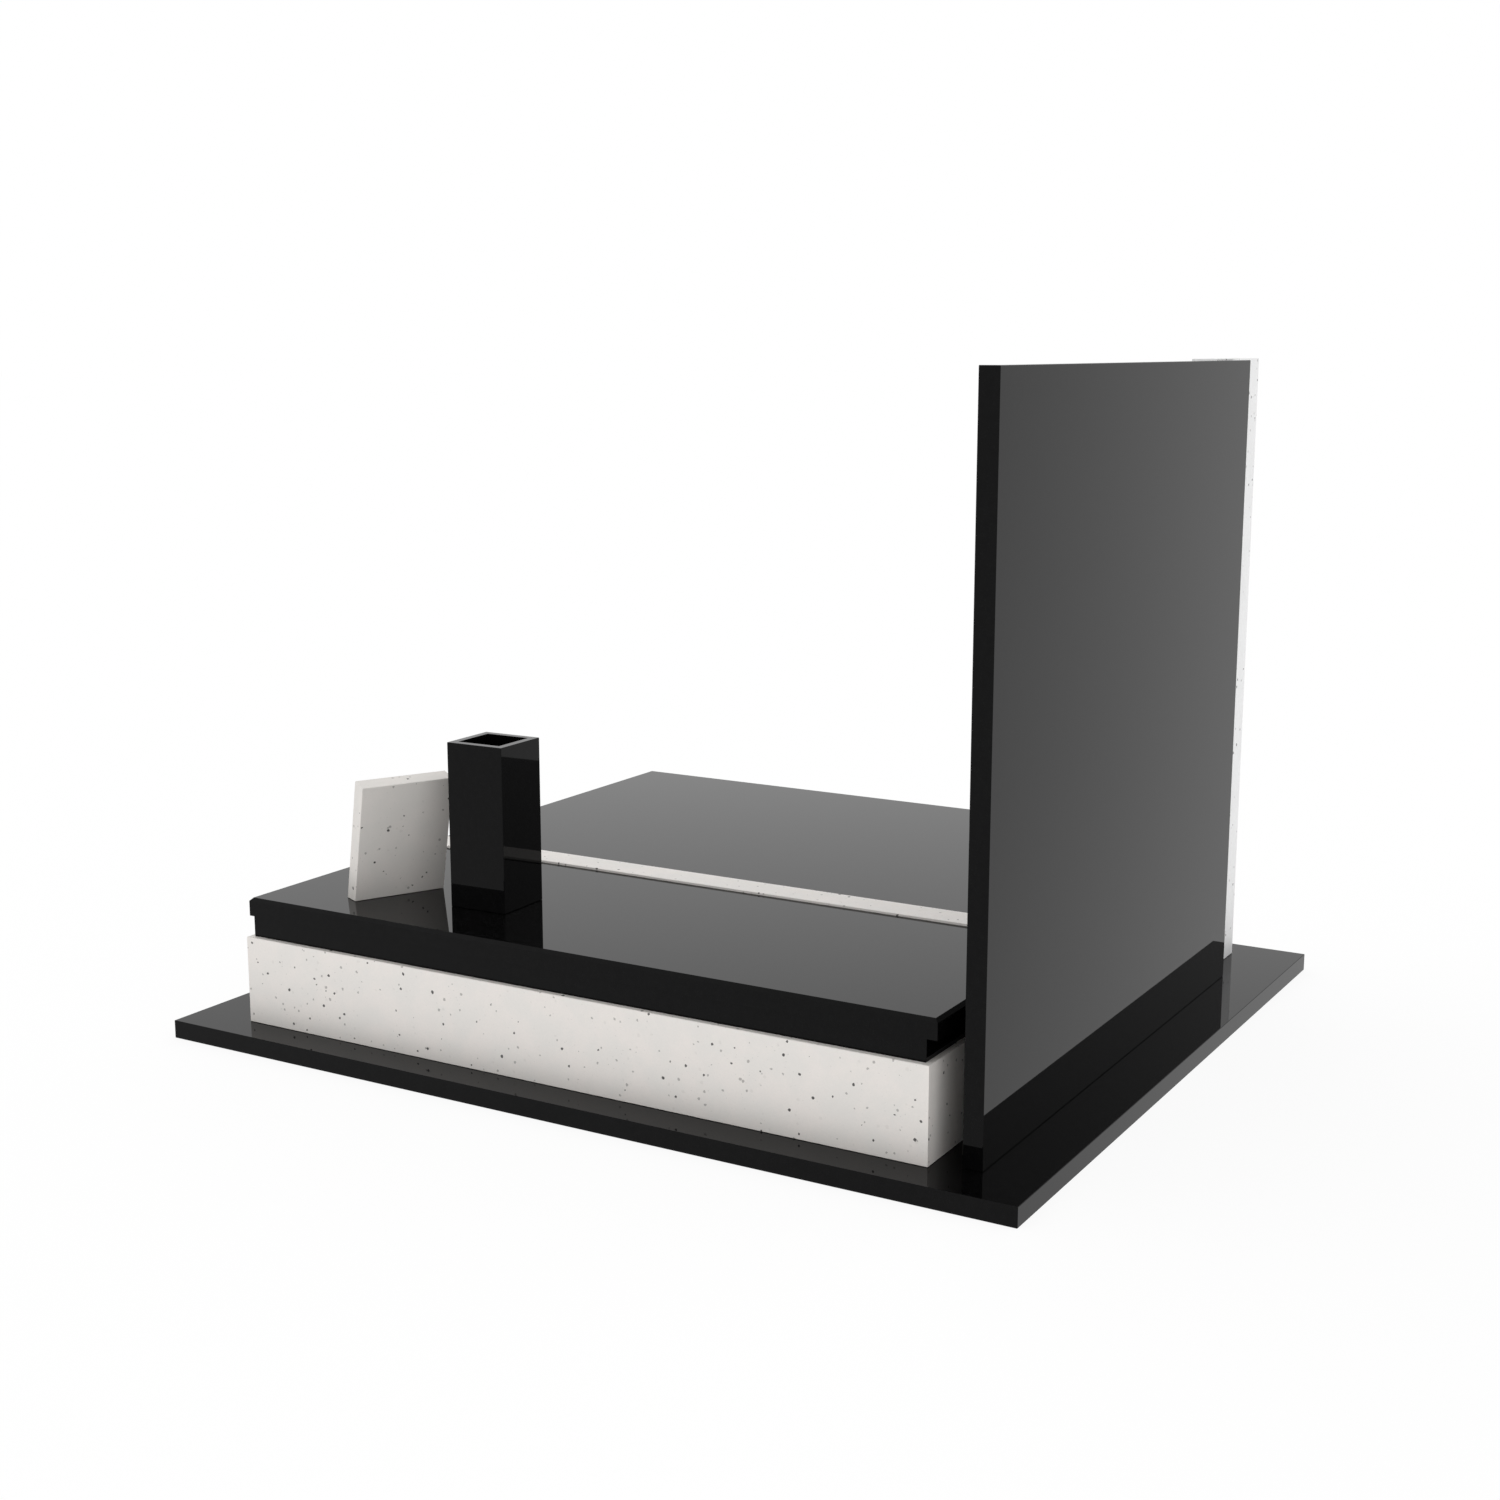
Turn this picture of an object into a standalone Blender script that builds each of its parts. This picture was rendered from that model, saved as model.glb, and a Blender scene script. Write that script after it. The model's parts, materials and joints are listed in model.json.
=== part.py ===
"""Double grave monument: a stone surround with two covers, a tall headstone, a vase and a tablet.

Metres, +Z up. The foot end is at -Y and the headstone at +Y. Left and right are as seen from the
foot end, so right is +X. The origin is the middle of the base slab's underside.
"""
import math

import bmesh
import bpy
from mathutils import Matrix, Vector

# Bedding joint left between two stones that touch
JOINT = 0.0003

# Base slab, as margins round what stands on it
BASE_THICKNESS = 0.040
SIDE_MARGIN = 0.080
FOOT_MARGIN = 0.150
BACK_MARGIN = 0.115

# Plinth of four kerb stones
PLINTH_LENGTH = 1.640
PLINTH_WIDTH = 1.600
PLINTH_HEIGHT = 0.192
KERB_WIDTH = 0.080

# Slab that lies on the plinth, under the covers
UNDER_SLAB_THICKNESS = 0.048
UNDER_SLAB_INSET = 0.012

# Two covers with a strip between them, measured from the plinth's faces
COVER_THICKNESS = 0.040
COVER_FOOT_INSET = 0.010
COVER_HEAD_OVERHANG = 0.014
COVER_SIDE_INSET = 0.002
RIGHT_COVER_WIDTH = 0.578
COVER_CHAMFER = 0.007
STRIP_WIDTH = 0.080
STRIP_RISE = 0.005

# Headstone: a thin slab clear of the covers, with a pillar in front of its left end
HEADSTONE_CLEARANCE = 0.041
HEADSTONE_THICKNESS = 0.040
HEADSTONE_HEIGHT = 1.423
HEADSTONE_RIGHT_INSET = 0.028
PILLAR_WIDTH = 0.310
PILLAR_DEPTH = 0.056
PILLAR_LAP = 0.115
PILLAR_RISE = 0.003

# Square vase, placed from the right-hand cover's foot and right edges
VASE_SIDE = 0.139
VASE_HEIGHT = 0.356
VASE_WALL = 0.017
VASE_FLOOR = 0.025
VASE_FROM_FOOT = 0.421
VASE_FROM_RIGHT = 0.167
VASE_TURN = math.radians(1.3)

# Leaning tablet, placed by the middle of its foot
TABLET_WIDTH = 0.208
TABLET_LENGTH = 0.272
TABLET_THICKNESS = 0.040
TABLET_LEAN = math.radians(13.75)
TABLET_TURN = math.radians(26.5)
TABLET_FROM_FOOT = 0.248
TABLET_FROM_RIGHT = 0.193

# Small flat arris along the sawn edges
ARRIS = 0.001

# Levels, from the ground up
base_top = BASE_THICKNESS
plinth_bottom = base_top + JOINT
plinth_top = plinth_bottom + PLINTH_HEIGHT
under_slab_bottom = plinth_top + JOINT
under_slab_top = under_slab_bottom + UNDER_SLAB_THICKNESS
cover_bottom = under_slab_top + JOINT
cover_top = cover_bottom + COVER_THICKNESS
headstone_bottom = base_top + JOINT
headstone_top = headstone_bottom + HEADSTONE_HEIGHT

# Lengths along Y, from the foot end to the back
base_length = (FOOT_MARGIN + PLINTH_LENGTH + COVER_HEAD_OVERHANG + HEADSTONE_CLEARANCE
               + HEADSTONE_THICKNESS + BACK_MARGIN)
base_foot = -base_length / 2
base_back = base_length / 2
plinth_foot = base_foot + FOOT_MARGIN
plinth_head = plinth_foot + PLINTH_LENGTH
cover_foot = plinth_foot + COVER_FOOT_INSET
cover_head = plinth_head + COVER_HEAD_OVERHANG
headstone_front = cover_head + HEADSTONE_CLEARANCE
headstone_back = headstone_front + HEADSTONE_THICKNESS

# Widths along X
base_right = PLINTH_WIDTH / 2 + SIDE_MARGIN
plinth_right = PLINTH_WIDTH / 2
cover_right_edge = plinth_right - COVER_SIDE_INSET
cover_left_edge = -cover_right_edge
strip_right = cover_right_edge - RIGHT_COVER_WIDTH - JOINT
strip_left = strip_right - STRIP_WIDTH
pillar_left = cover_left_edge
pillar_right = pillar_left + PILLAR_WIDTH
headstone_right = plinth_right - HEADSTONE_RIGHT_INSET
headstone_left = pillar_right - PILLAR_LAP


def clear_scene():
    for obj in list(bpy.data.objects):
        bpy.data.objects.remove(obj, do_unlink=True)


def make_collection(name):
    collection = bpy.data.collections.new(name)
    bpy.context.scene.collection.children.link(collection)
    return collection


def make_material(name, color, roughness):
    material = bpy.data.materials.new(name)
    material.use_nodes = True
    material.diffuse_color = (*color, 1.0)
    shader = material.node_tree.nodes["Principled BSDF"]
    shader.inputs["Base Color"].default_value = (*color, 1.0)
    shader.inputs["Roughness"].default_value = roughness
    shader.inputs["Metallic"].default_value = 0.0
    return material


clear_scene()
monument = make_collection("double_grave_monument")
cutters = make_collection("cutters")
black_granite = make_material("black_granite", (0.006, 0.006, 0.007), 0.06)
white_granite = make_material("white_granite", (0.80, 0.77, 0.73), 0.40)


def add_mesh(name, bm, location, collection, material=None):
    """Turn a bmesh built round its own middle into an object at the given place."""
    bmesh.ops.recalc_face_normals(bm, faces=bm.faces)
    mesh = bpy.data.meshes.new(name)
    bm.to_mesh(mesh)
    bm.free()
    if material:
        mesh.materials.append(material)
    obj = bpy.data.objects.new(name, mesh)
    obj.location = location
    collection.objects.link(obj)
    return obj


def box_mesh(size):
    bm = bmesh.new()
    bmesh.ops.create_cube(bm, size=1.0, matrix=Matrix.Diagonal((*size, 1.0)))
    return bm


def add_box(name, low, high, material):
    """A block between two opposite corners."""
    low = Vector(low)
    high = Vector(high)
    return add_mesh(name, box_mesh(high - low), (low + high) / 2, monument, material)


def ease_edges(obj, width, segments, chosen=None):
    """Take the edge off a stone. chosen(edge middle) picks the edges, and all are eased without it."""
    bm = bmesh.new()
    bm.from_mesh(obj.data)
    weight = bm.edges.layers.float.new("bevel_weight_edge")
    for edge in bm.edges:
        middle = (edge.verts[0].co + edge.verts[1].co) / 2
        edge[weight] = 1.0 if chosen is None or chosen(middle) else 0.0
    bm.to_mesh(obj.data)
    bm.free()
    bevel = obj.modifiers.new("eased edges", "BEVEL")
    bevel.width = width
    bevel.segments = segments
    bevel.limit_method = "WEIGHT"


def cut_box(obj, name, low, high, turn=0.0):
    """Cut a block-shaped recess between two opposite corners, turned about its upright middle line."""
    low = Vector(low)
    high = Vector(high)
    cutter = add_mesh(name, box_mesh(high - low), (low + high) / 2, cutters)
    cutter.rotation_euler.z = turn
    cutter.hide_render = True
    cutter.display_type = "WIRE"
    cut = obj.modifiers.new(name, "BOOLEAN")
    cut.operation = "DIFFERENCE"
    cut.solver = "EXACT"
    cut.object = cutter


def build_base_slab():
    low = (-base_right, base_foot, 0.0)
    high = (base_right, base_back, base_top)
    base = add_box("base_slab", low, high, black_granite)
    ease_edges(base, ARRIS, 1)


def add_kerb(name, outer_length, middle, turn):
    """One kerb stone: a bar whose ends are mitred, shorter on its inner face (local +Y)."""
    setback = JOINT / math.sqrt(2)
    bm = box_mesh((outer_length - 2 * setback, KERB_WIDTH, PLINTH_HEIGHT))
    for vert in bm.verts:
        if vert.co.y > 0:
            vert.co.x -= math.copysign(KERB_WIDTH, vert.co.x)
    kerb = add_mesh(name, bm, middle, monument, white_granite)
    kerb.rotation_euler.z = turn
    # The long edges only: the mitred ends stay sharp so that the corners close
    ease_edges(kerb, ARRIS, 1, lambda point: abs(point.x) < KERB_WIDTH / 4)


def build_plinth():
    inward = KERB_WIDTH / 2
    level = (plinth_bottom + plinth_top) / 2
    middle_y = (plinth_foot + plinth_head) / 2
    add_kerb("kerb_foot", PLINTH_WIDTH, (0, plinth_foot + inward, level), 0.0)
    add_kerb("kerb_right", PLINTH_LENGTH, (plinth_right - inward, middle_y, level), math.pi / 2)
    add_kerb("kerb_head", PLINTH_WIDTH, (0, plinth_head - inward, level), math.pi)
    add_kerb("kerb_left", PLINTH_LENGTH, (inward - plinth_right, middle_y, level), -math.pi / 2)


def build_under_slab():
    half_width = plinth_right - UNDER_SLAB_INSET
    low = (-half_width, plinth_foot + UNDER_SLAB_INSET, under_slab_bottom)
    high = (half_width, plinth_head - UNDER_SLAB_INSET, under_slab_top)
    under_slab = add_box("under_slab", low, high, black_granite)
    ease_edges(under_slab, ARRIS, 1)


def add_cover(name, left, right, inner_side):
    """One cover, chamfered along the top edges of its three outer sides."""
    cover = add_box(name, (left, cover_foot, cover_bottom), (right, cover_head, cover_top), black_granite)
    half_width = (right - left) / 2

    def outer_top_edge(point):
        at_strip = abs(point.x - inner_side * half_width) < COVER_THICKNESS / 4
        return point.z > COVER_THICKNESS / 4 and not at_strip

    ease_edges(cover, COVER_CHAMFER, 1, outer_top_edge)


def build_covers():
    add_cover("cover_right", strip_right + JOINT, cover_right_edge, -1)
    add_cover("cover_left", cover_left_edge, strip_left - JOINT, 1)
    low = (strip_left, cover_foot, cover_bottom)
    high = (strip_right, cover_head, cover_top + STRIP_RISE)
    strip = add_box("centre_strip", low, high, white_granite)
    ease_edges(strip, ARRIS, 1)


def build_headstone():
    low = (headstone_left, headstone_front, headstone_bottom)
    high = (headstone_right, headstone_back, headstone_top)
    slab = add_box("headstone_slab", low, high, black_granite)
    ease_edges(slab, ARRIS, 1)


def build_pillar():
    """The pillar stands before the slab and laps it, notched over the head end of the left-hand cover."""
    back = headstone_front - JOINT
    front = back - PILLAR_DEPTH
    top = headstone_top + PILLAR_RISE
    low = (pillar_left, front, headstone_bottom)
    pillar = add_box("headstone_pillar", low, (pillar_right, back, top), white_granite)
    ease_edges(pillar, ARRIS, 1)
    past = 0.010
    notch_low = (pillar_left - past, front - past, headstone_bottom - past)
    notch_high = (pillar_right + past, cover_head + JOINT, cover_top + JOINT)
    cut_box(pillar, "cover_notch", notch_low, notch_high)


def build_vase():
    """A square vase with an open top, standing a little turned on the right-hand cover."""
    right = cover_right_edge - VASE_FROM_RIGHT
    foot = cover_foot + VASE_FROM_FOOT
    low = Vector((right - VASE_SIDE, foot, cover_top + JOINT))
    high = Vector((right, foot + VASE_SIDE, cover_top + JOINT + VASE_HEIGHT))
    vase = add_box("vase", low, high, black_granite)
    vase.rotation_euler.z = VASE_TURN
    ease_edges(vase, ARRIS, 1)
    past = 0.010
    wall = Vector((VASE_WALL, VASE_WALL, 0.0))
    inside_low = low + wall + Vector((0.0, 0.0, VASE_FLOOR))
    inside_high = high - wall + Vector((0.0, 0.0, past))
    cut_box(vase, "vase_inside", inside_low, inside_high, VASE_TURN)


def build_tablet():
    """A slab that leans back (local +Y), its foot sawn level. Local Z runs up its length."""
    bm = box_mesh((TABLET_WIDTH, TABLET_THICKNESS, TABLET_LENGTH))
    for vert in bm.verts:
        vert.co.z += TABLET_LENGTH / 2
        if vert.co.z < TABLET_LENGTH / 2:
            vert.co.z = vert.co.y * math.tan(TABLET_LEAN)
    foot_middle = (cover_right_edge - TABLET_FROM_RIGHT, cover_foot + TABLET_FROM_FOOT, cover_top + JOINT)
    tablet = add_mesh("tablet", bm, foot_middle, monument, white_granite)
    tablet.rotation_euler = (-TABLET_LEAN, 0.0, -TABLET_TURN)
    ease_edges(tablet, ARRIS, 1)


build_base_slab()
build_plinth()
build_under_slab()
build_covers()
build_headstone()
build_pillar()
build_vase()
build_tablet()
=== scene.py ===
"""Double grave monument in polished black granite and honed white granite, in a pale studio.

Metres, in the frame of the CAD: +Z up, the foot end at -Y, the headstone at +Y, right is +X.
"""
from collections import namedtuple
import json
import math

import bmesh
import bpy
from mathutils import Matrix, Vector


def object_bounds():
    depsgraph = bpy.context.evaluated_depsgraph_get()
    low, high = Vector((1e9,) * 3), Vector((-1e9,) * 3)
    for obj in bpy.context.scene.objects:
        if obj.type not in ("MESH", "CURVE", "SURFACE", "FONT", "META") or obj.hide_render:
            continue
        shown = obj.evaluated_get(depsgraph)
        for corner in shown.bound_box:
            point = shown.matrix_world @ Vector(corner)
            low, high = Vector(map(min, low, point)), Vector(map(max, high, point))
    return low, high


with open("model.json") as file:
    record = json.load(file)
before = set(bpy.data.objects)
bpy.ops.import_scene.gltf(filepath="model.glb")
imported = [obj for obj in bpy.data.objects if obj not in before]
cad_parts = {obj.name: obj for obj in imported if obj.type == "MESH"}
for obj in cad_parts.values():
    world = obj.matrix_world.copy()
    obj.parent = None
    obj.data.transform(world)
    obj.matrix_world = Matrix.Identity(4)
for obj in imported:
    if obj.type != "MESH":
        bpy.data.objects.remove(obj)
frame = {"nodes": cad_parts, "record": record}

cad_low, cad_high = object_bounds()

# Where the camera stands, and how it is turned from looking straight down
CAMERA_PLACE = (4.0182, 2.3055, 1.4960)
CAMERA_TILT = math.radians(78.999)
CAMERA_TURN = math.radians(120.38)
CAMERA_LENS = 50.0
CAMERA_SENSOR = 36.0
CAMERA_REACH = 500.0

# The studio: one even white light all round, over a white floor. The floor glows, so that it takes
# next to no shadow, and what it glows and what it reflects come to white together.
WHITE_LIGHT = (1.0, 1.0, 1.0, 1.0)
STUDIO_LIGHT = 1.0
FLOOR_SHADE = 0.12
FLOOR_GLOW = 0.88
FLOOR_SIZE = 160.0

# Most of a noise's values lie between these two
NOISE_LOW = 0.35
NOISE_HIGH = 0.65
NOISE_ROUGHNESS = 0.55

# White granite: clouds of two whites, made of crystals that differ a little in tone
WHITE_IOR = 1.5
CLOUDS_PER_METRE = 14.0
CLOUD_DETAIL = 3.0
CRYSTALS_PER_METRE = 340.0
CRYSTAL_COLOUR = (0.66, 0.64, 0.61, 1.0)
CRYSTAL_COVER = 0.16

# How often to the metre the outlines of the crystals and of the dark grains stray, and how far
CRYSTAL_STRAYS = 300.0
CRYSTAL_STRAY_REACH = 0.003
GRAIN_STRAYS = 260.0
GRAIN_STRAY_REACH = 0.004

# The dark grains crowd in patches, where they are larger. These are shares of a grain's radius.
CROWDS_PER_METRE = 9.0
SPARSE_SIZE = 0.70
CROWDED_SIZE = 1.10

# A kind of dark grain: its cells to the metre, a grain's radius and the width of its soft rim, how
# much of the stone it covers, and its colour
Grain = namedtuple("Grain", "per_metre radius rim cover colour")
SMUDGE = Grain(40.0, 0.0044, 0.0022, 0.16, (0.42, 0.40, 0.37, 1.0))
DUST = Grain(95.0, 0.0013, 0.0008, 0.30, (0.30, 0.29, 0.28, 1.0))
FAINT_MICA = Grain(42.0, 0.0033, 0.0009, 0.60, (0.20, 0.19, 0.18, 1.0))
DARK_MICA = Grain(36.0, 0.0035, 0.0007, 0.95, (0.045, 0.043, 0.042, 1.0))

# The honed face: its roughness, what a crystal adds to it and what a dark grain's polish takes off
HONED_ROUGHNESS = 0.36
CRYSTAL_ROUGHNESS = 0.10
MICA_POLISH = 0.12

# The honed face's relief: its strength and depth, and the shares of crystals, clouds and dark grains
RELIEF_STRENGTH = 0.06
RELIEF_DEPTH = 0.0004
CRYSTAL_RELIEF = 0.5
CLOUD_RELIEF = 0.5
MICA_RELIEF = 0.6

# Black granite: a near black that drifts between two tones, where the lightest crystals glint
BLACK_IOR = 1.205
BLACK_DARKER = (0.0009, 0.0009, 0.0010, 1.0)
BLACK_LIGHTER = (0.0017, 0.0017, 0.0018, 1.0)
DRIFTS_PER_METRE = 70.0
DRIFT_DETAIL = 4.0
BLACK_CRYSTALS_PER_METRE = 620.0
GLINT_FROM = 0.90
GLINT_COVER = 0.5
GLINT_COLOUR = (0.006, 0.006, 0.0065, 1.0)

# The polished face: its roughness, and what the drifts and the glints add to it
POLISHED_ROUGHNESS = 0.012
DRIFT_ROUGHNESS = 0.016
GLINT_ROUGHNESS = 0.02

# Sockets of a Mix node that mixes colours, whose names the node uses more than once
MIX_AMOUNT = 0
MIX_UNDER = 6
MIX_OVER = 7
MIX_COLOUR = 2


class Link:
    """An output of a shader node, so that sums on it read as sums and add their Math nodes."""

    def __init__(self, finish, socket):
        self.finish = finish
        self.socket = socket

    def __add__(self, other):
        return self.finish.maths("ADD", self, other)

    def __radd__(self, other):
        return self.finish.maths("ADD", other, self)

    def __sub__(self, other):
        return self.finish.maths("SUBTRACT", self, other)

    def __rsub__(self, other):
        return self.finish.maths("SUBTRACT", other, self)

    def __mul__(self, other):
        return self.finish.maths("MULTIPLY", self, other)

    def __rmul__(self, other):
        return self.finish.maths("MULTIPLY", other, self)


class Finish:
    """A material made of nodes. The values that are the same all over it are named like their sockets."""

    def __init__(self, name, **shader_values):
        self.material = bpy.data.materials.new(name)
        self.material.use_nodes = True
        self.tree = self.material.node_tree
        self.shader = self.tree.nodes["Principled BSDF"]
        for socket_name, value in shader_values.items():
            self.set(socket_name.replace("_", " "), value)

    def feed(self, socket, value):
        """Give a socket its value, or link it to an output."""
        if isinstance(value, Link):
            self.tree.links.new(value.socket, socket)
        else:
            socket.default_value = value

    def set(self, socket_name, value):
        """Feed one of the shader's own sockets."""
        self.feed(self.shader.inputs[socket_name], value)

    def node(self, kind, settings, inputs, output=0):
        """One node: its settings are made first, and then its sockets get their values or links."""
        made = self.tree.nodes.new("ShaderNode" + kind)
        for name, value in settings.items():
            setattr(made, name, value)
        for name, value in inputs.items():
            self.feed(made.inputs[name], value)
        return Link(self, made.outputs[output])

    def maths(self, operation, first, second):
        return self.node("Math", {"operation": operation}, {0: first, 1: second})

    def place(self):
        """The point of the surface, in the monument's own metres."""
        return self.node("TexCoord", {}, {}, "Object")

    def noise(self, place, per_metre, detail, output="Fac"):
        """A soft unevenness, with so many swells to the metre."""
        inputs = {"Vector": place, "Scale": per_metre, "Detail": detail, "Roughness": NOISE_ROUGHNESS}
        return self.node("TexNoise", {"noise_dimensions": "3D"}, inputs, output)

    def cells(self, place, per_metre, output):
        """Cells round scattered points: each one's random Color, or the Distance from its point."""
        inputs = {"Vector": place, "Scale": per_metre}
        return self.node("TexVoronoi", {"feature": "F1"}, inputs, output)

    def channel(self, colour, name):
        return self.node("SeparateColor", {}, {"Color": colour}, name)

    def fade(self, value, start, end, low=0.0, high=1.0):
        """low where value is below start, high where it is above end, and smooth between them."""
        settings = {"interpolation_type": "SMOOTHSTEP", "clamp": True}
        inputs = {"Value": value, "From Min": start, "From Max": end, "To Min": low, "To Max": high}
        return self.node("MapRange", settings, inputs, "Result")

    def blend(self, amount, under, over):
        """One colour over another, by an amount from 0 to 1."""
        settings = {"data_type": "RGBA", "blend_type": "MIX"}
        inputs = {MIX_AMOUNT: amount, MIX_UNDER: under, MIX_OVER: over}
        return self.node("Mix", settings, inputs, MIX_COLOUR)

    def wander(self, place, per_metre, reach):
        """The place, moved about by less than the reach, so that what is drawn there is uneven."""
        drift = self.noise(place, per_metre, 1.0, "Color")
        scaled = self.node("VectorMath", {"operation": "SCALE"}, {0: drift, "Scale": reach})
        return self.node("VectorMath", {"operation": "ADD"}, {0: place, 1: scaled})


def grain_spots(finish, place, grain, crowding):
    """1 inside the grains of one kind and 0 between them. Each cell holds one, round its own point."""
    uneven = finish.wander(place, GRAIN_STRAYS, GRAIN_STRAY_REACH)
    distance = finish.cells(uneven, grain.per_metre, "Distance") * (1.0 / grain.per_metre)
    size = crowding * grain.radius
    return finish.fade(size - distance, 0.0, grain.rim)


def white_granite(name, cooler, warmer):
    """Off-white granite, honed: cloudy quartz and feldspar with sparse dark grains."""
    finish = Finish(name, IOR=WHITE_IOR)
    place = finish.place()

    cloud = finish.noise(place, CLOUDS_PER_METRE, CLOUD_DETAIL)
    stone = finish.blend(finish.fade(cloud, NOISE_LOW, NOISE_HIGH), cooler, warmer)
    uneven = finish.wander(place, CRYSTAL_STRAYS, CRYSTAL_STRAY_REACH)
    crystal = finish.channel(finish.cells(uneven, CRYSTALS_PER_METRE, "Color"), "Red")
    stone = finish.blend(crystal * CRYSTAL_COVER, stone, CRYSTAL_COLOUR)

    patches = finish.noise(place, CROWDS_PER_METRE, 1.0)
    crowding = finish.fade(patches, NOISE_LOW, NOISE_HIGH, SPARSE_SIZE, CROWDED_SIZE)
    for grain in (SMUDGE, DUST, FAINT_MICA):
        spots = grain_spots(finish, place, grain, crowding)
        stone = finish.blend(spots * grain.cover, stone, grain.colour)
    mica = grain_spots(finish, place, DARK_MICA, crowding)
    stone = finish.blend(mica * DARK_MICA.cover, stone, DARK_MICA.colour)
    finish.set("Base Color", stone)

    finish.set("Roughness", HONED_ROUGHNESS + crystal * CRYSTAL_ROUGHNESS - mica * MICA_POLISH)
    height = crystal * CRYSTAL_RELIEF + cloud * CLOUD_RELIEF - mica * MICA_RELIEF
    relief = {"Strength": RELIEF_STRENGTH, "Distance": RELIEF_DEPTH, "Height": height}
    finish.set("Normal", finish.node("Bump", {}, relief))
    return finish.material


def black_granite(name):
    """Black granite, polished to a dark mirror, with a fine grain of slightly lighter crystals."""
    finish = Finish(name, IOR=BLACK_IOR)
    place = finish.place()
    drift = finish.noise(place, DRIFTS_PER_METRE, DRIFT_DETAIL)
    stone = finish.blend(finish.fade(drift, NOISE_LOW, NOISE_HIGH), BLACK_DARKER, BLACK_LIGHTER)
    crystal = finish.channel(finish.cells(place, BLACK_CRYSTALS_PER_METRE, "Color"), "Green")
    glint = finish.fade(crystal, GLINT_FROM, 1.0)
    stone = finish.blend(glint * GLINT_COVER, stone, GLINT_COLOUR)
    finish.set("Base Color", stone)
    finish.set("Roughness", POLISHED_ROUGHNESS + drift * DRIFT_ROUGHNESS + glint * GLINT_ROUGHNESS)
    return finish.material


# The cuts of stone, the white ones each with the cooler and the warmer white of its clouds. The pillar's
# and the tablet's are copies of one white granite, painted lighter and darker: painted light and shade.
BLACK_GRANITE = black_granite("polished_black_granite")
WHITE_GRANITE = white_granite(
    "honed_white_granite", (0.766, 0.740, 0.708, 1.0), (0.801, 0.760, 0.725, 1.0))
# The pillar's copy is painted lighter and cooler: its lightness is painted light on its back face
PAINTED_LIGHTER_PILLAR_GRANITE = white_granite(
    "honed_pillar_granite_painted_lighter", (0.812, 0.816, 0.820, 1.0), (0.838, 0.842, 0.846, 1.0))
# The tablet's copy is painted darker: painted shade on its back, which leans over the black cover
PAINTED_DARKER_TABLET_GRANITE = white_granite(
    "honed_tablet_granite_painted_darker", (0.703, 0.679, 0.646, 1.0), (0.733, 0.698, 0.664, 1.0))
SLOT_FINISHES = {"white_granite": WHITE_GRANITE, "black_granite": BLACK_GRANITE}
PAINTED_LIGHT_AND_SHADE_FINISHES = {"headstone_pillar": PAINTED_LIGHTER_PILLAR_GRANITE, "tablet": PAINTED_DARKER_TABLET_GRANITE}


def dress_nodes():
    """Each stone gets its slot's finish; the pillar and tablet get copies painted lighter and darker as
    light and shade.
    """
    for subpart in frame["record"]["subparts"]:
        node = subpart["node"]
        material = PAINTED_LIGHT_AND_SHADE_FINISHES.get(node, SLOT_FINISHES[subpart["material_slot"]])
        for slot in frame["nodes"][node].material_slots:
            slot.material = material


def pale_floor():
    floor_mesh = bpy.data.meshes.new("floor")
    bm = bmesh.new()
    bmesh.ops.create_grid(bm, x_segments=1, y_segments=1, size=FLOOR_SIZE / 2)
    bm.to_mesh(floor_mesh)
    bm.free()
    floor = bpy.data.objects.new("floor", floor_mesh)
    floor.location.z = cad_low.z
    bpy.context.scene.collection.objects.link(floor)
    paint = Finish(
        "pale_floor",
        Base_Color=(FLOOR_SHADE, FLOOR_SHADE, FLOOR_SHADE, 1.0),
        Roughness=1.0,
        Specular_IOR_Level=0.0,
        Emission_Color=WHITE_LIGHT,
        Emission_Strength=FLOOR_GLOW,
    )
    floor_mesh.materials.append(paint.material)


def studio_light():
    world = bpy.data.worlds.new("studio")
    world.use_nodes = True
    light = world.node_tree.nodes["Background"]
    light.inputs["Color"].default_value = WHITE_LIGHT
    light.inputs["Strength"].default_value = STUDIO_LIGHT
    bpy.context.scene.world = world
    bpy.context.scene.view_settings.view_transform = "Standard"


def camera_of_the_photo():
    lens = bpy.data.cameras.new("camera")
    lens.lens = CAMERA_LENS
    lens.sensor_width = CAMERA_SENSOR
    lens.clip_end = CAMERA_REACH
    camera = bpy.data.objects.new("camera", lens)
    camera.location = CAMERA_PLACE
    camera.rotation_euler = (CAMERA_TILT, 0.0, CAMERA_TURN)
    bpy.context.scene.collection.objects.link(camera)
    bpy.context.scene.camera = camera


camera_of_the_photo()
studio_light()
pale_floor()
dress_nodes()
